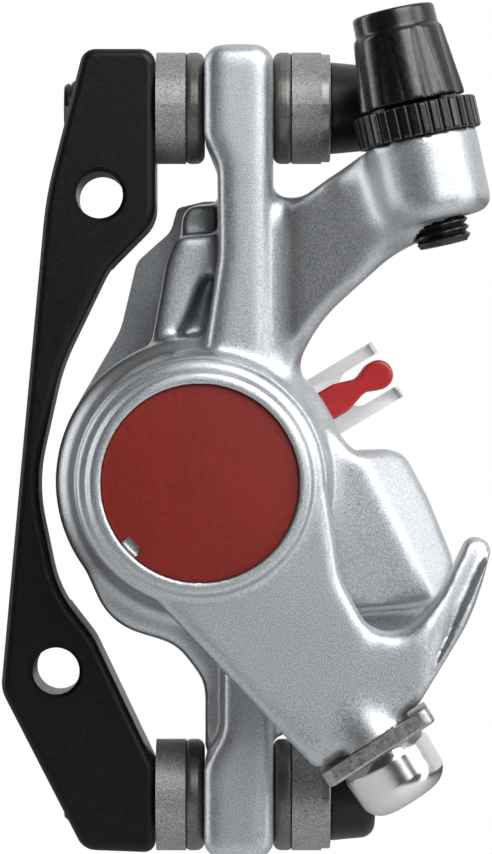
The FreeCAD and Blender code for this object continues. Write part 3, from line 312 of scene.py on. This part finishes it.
def softCopy(node, voxel, passes, held, blended=None):
    # a finer skin on the node's own surface, relaxed except where it is machined
    bm = nodeCopy(node)
    mesh = bpy.data.meshes.new(node + "Skin")
    bm.to_mesh(mesh)
    bm.free()
    skin = bpy.data.objects.new(node + "Skin", mesh)
    bpy.context.collection.objects.link(skin)
    remesh = skin.modifiers.new("skin", "REMESH")
    remesh.mode = "VOXEL"
    remesh.voxel_size = voxel * mm
    depsgraph = bpy.context.evaluated_depsgraph_get()
    fine = bpy.data.meshes.new_from_object(skin.evaluated_get(depsgraph))
    bpy.data.objects.remove(skin)
    bm = bmesh.new()
    bm.from_mesh(fine)
    bpy.data.meshes.remove(fine)
    free = [v for v in bm.verts if not held(v.co / mm)]
    relax(bm, free, passes)
    # run-in places are relaxed further, more and more towards their middle
    depth = {v: blended(v.co / mm) for v in free} if blended else {}
    for tier in range(casting["blendTiers"]):
        wide = [v for v in depth if depth[v] > tier / casting["blendTiers"]]
        relax(bm, wide, casting["blendPasses"])
    return bm


def housingHeld(p):
    seats = housingSeats
    inBores = math.hypot(p.x, p.z) < seats["bores"] and p.y > seats["boresFrom"]
    inSlot = p.y > seats["slotFrom"]
    onEar = p.x < seats["earLeft"] or p.x > seats["earRight"]
    nearBolt = min(abs(p.z - z) for z in postBoltZs) < seats["bolts"]
    inStop = offAxis(p, stop["seat"], stop["up"])[1] < seats["stop"]
    return inBores or inSlot or (nearBolt and onEar) or inStop


def inside(value, low, high, margin):
    # 0 outside a span, 1 once a margin into it
    return max(0.0, min(1.0, min(value - low, high - value) / margin))


def runInDepth(p, place, point, axis):
    # how far p lies into a run-in place, by its least measure
    along, across = offAxis(p, point, axis)
    measures = {"x": p.x, "y": p.y, "z": p.z, "along": along, "across": across}
    return min(inside(measures[key], *span) for key, span in runIns[place].items())


def housingBlend(p):
    # where the cable stop's boss runs into its web, and the web into the spine
    return max(runInDepth(p, place, stop["seat"], stop["up"]) for place in ("boss", "spine"))


def armHeld(p):
    inCapSeat = math.hypot(p.x, p.z) < armSeats["cap"]
    atClamp = abs(offAxis(p, clamp["centre"], clamp["out"])[0]) < armSeats["clampFace"]
    return inCapSeat or atClamp or p.y > armSeats["hubBackFrom"]


def armBlend(p):
    # the swelling round the cable bolt, which runs out into the blade, and the horn's ridge
    return max(runInDepth(p, place, clamp["centre"], clamp["out"]) for place in ("swell", "horn"))


keepPiece(softCopy("outboard_housing", casting["voxel"], casting["passes"], housingHeld, housingBlend),
          "castHousing", "outboard_housing", casting["sharpDegrees"])
keepPiece(softCopy("actuation_arm", casting["armVoxel"], casting["armPasses"], armHeld, armBlend),
          "castArm", "actuation_arm", casting["sharpDegrees"])
print("castings done")


# Pad plates: pressed from sheet, so their corners are rolled over

padPress = {"voxel": 0.17, "passes": 4, "sharpDegrees": 50}
for side in ("outboard", "inboard"):
    bm = softCopy(side + "_pad_plate", padPress["voxel"], padPress["passes"], lambda p: False)
    keepPiece(bm, side + "PadPress", side + "_pad_plate", padPress["sharpDegrees"])
print("pad plates done")


# Pad spring: halved across its middle plane, each half filled shut and kept as a piece that rides on no body

spring = {"sheet": 0.4, "halves": {"outer": -1, "inner": 1}}
for half, side in spring["halves"].items():
    bm = nodeCopy("pad_spring")
    halved = cutAway(bm, (0, 0, 0), (0, -side, 0), gap=0)
    rim = [g for g in halved["geom_cut"] if isinstance(g, bmesh.types.BMEdge)]
    bmesh.ops.triangle_fill(bm, edges=rim, use_beauty=True, use_dissolve=False)
    bmesh.ops.recalc_face_normals(bm, faces=bm.faces)
    piece = keepPiece(bm, half + "SpringHalf", "pad_spring", bends=True)
    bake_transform(piece)
print("pad spring done")


# Threads: one pitch of profile spun up its own helix

thread = {
    "pitch": 0.8, "depth": 0.42, "crest": 0.16, "steps": 40, "lead": 0.5, "tipInset": 0.1, "startTurns": 1.2,
    "sharpDegrees": 40,
}


def spinThread(bm, radius, length, boreRadius, place):
    # an outside thread up the place's Z from its origin, with a chamfered end, and hollow if it has a bore
    pitch = thread["pitch"]
    root = radius - thread["depth"]
    halfCrest = thread["crest"] / 2
    profile = [(root, 0), (radius, 0.5 - halfCrest), (radius, 0.5 + halfCrest), (root, 1)]
    part = bmesh.new()
    verts = [part.verts.new((r * mm, 0, z * pitch * mm)) for r, z in profile]
    edges = [part.edges.new(pair) for pair in zip(verts, verts[1:])]
    turns = math.ceil(length / pitch) + 2
    bmesh.ops.spin(part, geom=verts + edges, axis=(0, 0, 1), cent=(0, 0, 0), angle=math.tau * turns,
                   steps=thread["steps"] * turns, dvec=(0, 0, pitch / thread["steps"] * mm),
                   use_duplicate=False)
    bmesh.ops.remove_doubles(part, verts=part.verts, dist=mergeGap)
    bmesh.ops.translate(part, verts=part.verts, vec=(0, 0, -thread["startTurns"] * pitch * mm))
    for height, facing in ((thread["lead"], -1), (length, 1)):
        cutAway(part, (0, 0, height * mm), (0, 0, facing))
    justAbove = (thread["lead"] + 0.01) * mm
    rim = [e for e in part.edges if e.is_boundary and max(v.co.z for v in e.verts) < justAbove]
    rings = [(root - thread["tipInset"], 0.0)]
    if boreRadius:
        rings += [(boreRadius, 0.0), (boreRadius, length)]
    for ringRadius, height in rings:
        grown = bmesh.ops.extrude_edge_only(part, edges=rim)["geom"]
        for v in (g for g in grown if isinstance(g, bmesh.types.BMVert)):
            v.co = Vector((v.co.x, v.co.y, 0)).normalized() * ringRadius * mm + Vector((0, 0, height * mm))
        rim = [g for g in grown if isinstance(g, bmesh.types.BMEdge)]
    if not boreRadius:
        bmesh.ops.edgeloop_fill(part, edges=rim)
    bmesh.ops.remove_doubles(part, verts=part.verts, dist=fineGap)
    bmesh.ops.recalc_face_normals(part, faces=part.faces)
    bmesh.ops.transform(part, matrix=place, verts=part.verts)
    mesh = bpy.data.meshes.new("thread")
    part.to_mesh(mesh)
    part.free()
    bm.from_mesh(mesh)
    bpy.data.meshes.remove(mesh)


def cutBack(bm, place, height):
    # takes away what lies below a height on the place's Z
    up = place.to_3x3() @ Vector((0, 0, 1))
    cutAway(bm, place.translation + up * height * mm, -up)


# Barrel adjuster: softened flutes over a threaded stem

barrel = {
    "stemRadius": 3.0, "stemEnd": -11.4, "plainFrom": -6.4, "bore": 1.1,
    "flutesFrom": 3.4, "voxel": 0.16, "passes": 4,
}
stemPlace = upright((stop["seat"] + stop["up"] * barrel["stemEnd"]) * mm, stop["up"])


def barrelHeld(p):
    return offAxis(p, stop["seat"], stop["up"])[0] < barrel["flutesFrom"]


bm = softCopy("barrel_adjuster", barrel["voxel"], barrel["passes"], barrelHeld)
stemLength = barrel["plainFrom"] - barrel["stemEnd"]
cutBack(bm, stemPlace, stemLength)
spinThread(bm, barrel["stemRadius"], stemLength, barrel["bore"], stemPlace)
keepPiece(bm, "barrelKnob", "barrel_adjuster", thread["sharpDegrees"])
print("barrel done")


# Post bolts: threaded where they leave the bracket

postBolts = {"y": -11.5, "radius": 2.95, "threadLength": 12.0}
bm = nodeCopy("mount_bolts")
tipX = min(v.co.x for v in bm.verts) / mm
cutBack(bm, upright((tipX * mm, 0, 0), (1, 0, 0)), postBolts["threadLength"])
for z in postBoltZs:
    tip = Vector((tipX, postBolts["y"], z))
    spinThread(bm, postBolts["radius"], postBolts["threadLength"], 0, upright(tip * mm, (1, 0, 0)))
keepPiece(bm, "postBolts", "mount_bolts", thread["sharpDegrees"])
print("bolts done")


# Camera at the photograph's angle, 450 mm in front of the mounting bolts

view = {"x": 4.75, "y": -461.5, "z": 5.83, "tallMm": 92.12, "distanceMm": 450.0, "sensorMm": 36.0}
lens = bpy.data.cameras.new("camera")
lens.sensor_width = view["sensorMm"]
lens.lens = view["sensorMm"] * view["distanceMm"] / view["tallMm"]
lens.clip_start = 0.01
lens.clip_end = 20.0
camera = bpy.data.objects.new("camera", lens)
camera.location = (view["x"] * mm, view["y"] * mm, view["z"] * mm)
camera.rotation_euler = (math.pi / 2, 0, 0)
bpy.context.collection.objects.link(camera)
bpy.context.scene.camera = camera


# Studio: white to the camera from every side, soft boxes round the object, and a dim room for metal to mirror

studio = {
    "fill": 0.07, "brightTowards": (0.3, 0.9, 0.3), "dimAt": -0.1, "brightAt": 0.7, "roomDim": 0.05,
    "floorZ": -0.16, "glowNear": 0.72, "shadowReach": 0.25, "whiteFrom": 1.0, "floorHalf": 6.0,
    "lampsAim": (0.004, -0.012, 0.005),
}
world = bpy.data.worlds.new("studio")
bpy.context.scene.world = world
world.use_nodes = True
back = world.node_tree.nodes["Background"]
rays = addNode(world, "ShaderNodeLightPath")
mirrored = addNode(world, "ShaderNodeMath", settings={"operation": "MAXIMUM"},
                   links={0: rays.outputs["Is Glossy Ray"], 1: rays.outputs["Is Transmission Ray"]})
heading = addNode(world, "ShaderNodeTexCoord").outputs["Generated"]
bright = addNode(world, "ShaderNodeVectorMath", settings={"operation": "DOT_PRODUCT"},
                 inputs={1: studio["brightTowards"]}, links={0: heading})
room = addNode(world, "ShaderNodeMapRange",
               inputs={"From Min": studio["dimAt"], "From Max": studio["brightAt"],
                       "To Min": studio["roomDim"], "To Max": 1.0},
               links={"Value": bright.outputs["Value"]})
level = addNode(world, "ShaderNodeMix", inputs={2: studio["fill"]},
                links={0: mirrored.outputs[0], 3: room.outputs["Result"]})
backdrop = addNode(world, "ShaderNodeMath", settings={"operation": "MAXIMUM"},
                   links={0: level.outputs[0], 1: rays.outputs["Is Camera Ray"]})
world.node_tree.links.new(backdrop.outputs[0], back.inputs["Strength"])
back.inputs["Color"].default_value = (1, 1, 1, 1)

lamps = {
    "keyBox": {"at": (0.6, -0.36, 0.3), "size": (0.4, 0.4), "watts": 0.9},
    "frontBox": {"at": (0.15, -0.34, 0.26), "size": (0.28, 0.28), "watts": 1.75},
    "rightBox": {"at": (0.5, -0.2, 0.1), "size": (0.2, 0.5), "watts": 0.9},
    "leftBox": {"at": (-0.48, 0.02, 0.1), "size": (0.1, 0.5), "watts": 0.9},
    "fillBox": {"at": (0.2, -0.5, 0.1), "size": (0.2, 0.2), "watts": 0.25},
    "topBox": {"at": (0.1, -0.05, 0.6), "size": (0.4, 0.3), "watts": 0.3},
    "underBox": {"at": (0.25, -0.25, -0.45), "size": (0.3, 0.2), "watts": 0.15},
}
for name, lamp in lamps.items():
    light = bpy.data.lights.new(name, "AREA")
    light.shape = "RECTANGLE"
    light.size, light.size_y = lamp["size"]
    light.energy = lamp["watts"]
    holder = bpy.data.objects.new(name, light)
    holder.location = lamp["at"]
    aim = Vector(studio["lampsAim"]) - Vector(lamp["at"])
    holder.rotation_euler = aim.to_track_quat("-Z", "Y").to_euler()
    bpy.context.collection.objects.link(holder)

# floor of pale paper: white to the camera far off, and near the object it keeps the shadow
bm = bmesh.new()
bmesh.ops.create_grid(bm, x_segments=1, y_segments=1, size=studio["floorHalf"])
bmesh.ops.translate(bm, verts=bm.verts, vec=(0, 0, studio["floorZ"]))
floorMesh = bpy.data.meshes.new("floor")
bm.to_mesh(floorMesh)
bm.free()
floorPaper = bpy.data.materials.new("floorPaper")
floorPaper.use_nodes = True
paper = floorPaper.node_tree.nodes["Principled BSDF"]
paper.inputs["Base Color"].default_value = linear("#f4f4f4")
paper.inputs["Roughness"].default_value = 0.9
paperRays = addNode(floorPaper, "ShaderNodeLightPath")
glow = addNode(floorPaper, "ShaderNodeEmission", inputs={"Strength": 1.0})
away = addNode(floorPaper, "ShaderNodeVectorMath", settings={"operation": "LENGTH"},
               links={0: addNode(floorPaper, "ShaderNodeTexCoord").outputs["Object"]})
whiter = addNode(floorPaper, "ShaderNodeMapRange",
                 inputs={"From Min": studio["shadowReach"], "From Max": studio["whiteFrom"],
                         "To Min": studio["glowNear"], "To Max": 1.0},
                 links={"Value": away.outputs["Value"]})
amount = addNode(floorPaper, "ShaderNodeMath", settings={"operation": "MULTIPLY"},
                 links={0: paperRays.outputs["Is Camera Ray"], 1: whiter.outputs["Result"]})
shown = addNode(floorPaper, "ShaderNodeMixShader",
                links={0: amount.outputs[0], 1: paper.outputs[0], 2: glow.outputs[0]})
paperOutput = floorPaper.node_tree.nodes["Material Output"]
floorPaper.node_tree.links.new(shown.outputs[0], paperOutput.inputs["Surface"])
floorMesh.materials.append(floorPaper)
floor = bpy.data.objects.new("floor", floorMesh)
bpy.context.collection.objects.link(floor)
bpy.context.scene.view_settings.view_transform = "Standard"
print("studio ready")
